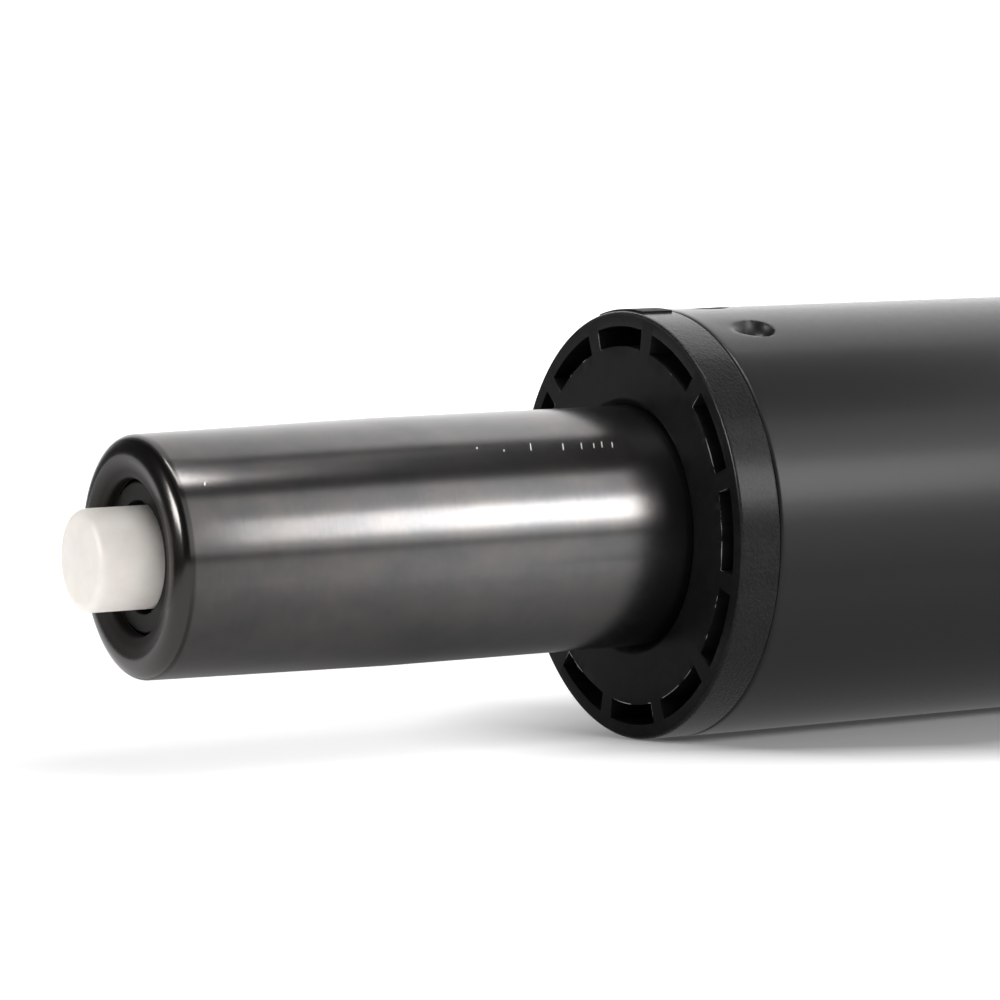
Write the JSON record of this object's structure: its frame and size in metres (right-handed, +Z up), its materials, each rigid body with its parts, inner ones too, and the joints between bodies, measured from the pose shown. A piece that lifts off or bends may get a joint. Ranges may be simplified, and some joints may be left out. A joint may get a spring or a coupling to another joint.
{
  "type": "chair gas lift cylinder",
  "caption": "Tapered tubular column with a gas cylinder that slides up through a moulded bush and swivels on a ball bearing, with a release button on top.",
  "frame": {"origin": "centre of the column's lower rim, in the plane that the column stands on", "axes": "+Z up along the lift axis, from the tapered foot to the release button; +X and -Y are square to it, and the crimps seen in the picture face between them"},
  "size_m": [0.05, 0.05, 0.2925],
  "materials": {
    "column_black": "satin black powder coat",
    "bush_plastic": "moulded black plastic, spark-eroded grain on the rim",
    "zinc_steel": "bright zinc plate",
    "bearing_steel": "ground",
    "ball_steel": "polished",
    "cage_brass": "pressed, satin",
    "rubber_black": "matt",
    "rod_chrome": "hard chrome, ground",
    "clip_steel": "phosphated spring steel",
    "piston_alloy": "turned",
    "ring_plastic": "filled sealing plastic",
    "tube_steel": "dark drawn steel, brushed round the axis",
    "inner_steel": "drawn",
    "guide_plastic": "moulded natural plastic",
    "valve_alloy": "turned, dark",
    "button_white": "moulded white plastic",
    "pin_steel": "ground"
  },
  "bodies": {
    "column": {"column_tube": "column_black", "guide_bush": "bush_plastic", "foot_plate": "zinc_steel", "lower_race": "bearing_steel"},
    "bearing_cage": {"ball_cage": "cage_brass", "bearing_balls": "ball_steel"},
    "rod": {"upper_race": "bearing_steel", "buffer_washer": "zinc_steel", "rubber_buffer": "rubber_black", "piston_rod": "rod_chrome", "clip_washer": "zinc_steel", "retaining_clip": "clip_steel", "piston": "piston_alloy", "piston_ring": "ring_plastic", "piston_washer": "zinc_steel", "piston_nut": "zinc_steel"},
    "cylinder": {"pressure_tube": "tube_steel", "inner_tube": "inner_steel", "end_washer": "zinc_steel", "rod_guide": "guide_plastic", "rod_seal": "rubber_black", "seal_spacer": "zinc_steel", "valve_body": "valve_alloy", "body_seals": "rubber_black", "pin_seals": "rubber_black"},
    "release": {"release_button": "button_white", "valve_pin": "pin_steel"}
  },
  "joints": [
    {"name": "swivel", "type": "hinge", "parent": "column", "child": "rod", "pos_m": [0, 0, 0.0125], "axis": [0, 0, 1], "continuous": true},
    {"name": "bearing_cage_spin", "type": "hinge", "parent": "column", "child": "bearing_cage", "pos_m": [0, 0, 0.0125], "axis": [0, 0, 1], "continuous": true},
    {"name": "lift", "type": "slide", "parent": "rod", "child": "cylinder", "axis": [0, 0, 1], "range_m": [0, 0.1]},
    {"name": "release_press", "type": "slide", "parent": "cylinder", "child": "release", "axis": [0, 0, -1], "range_m": [0, 0.004], "stiffness_N_per_m": 20000}
  ],
  "couplings": [
    {"joint": "bearing_cage_spin", "follows": "swivel", "ratio": 0.5}
  ]
}
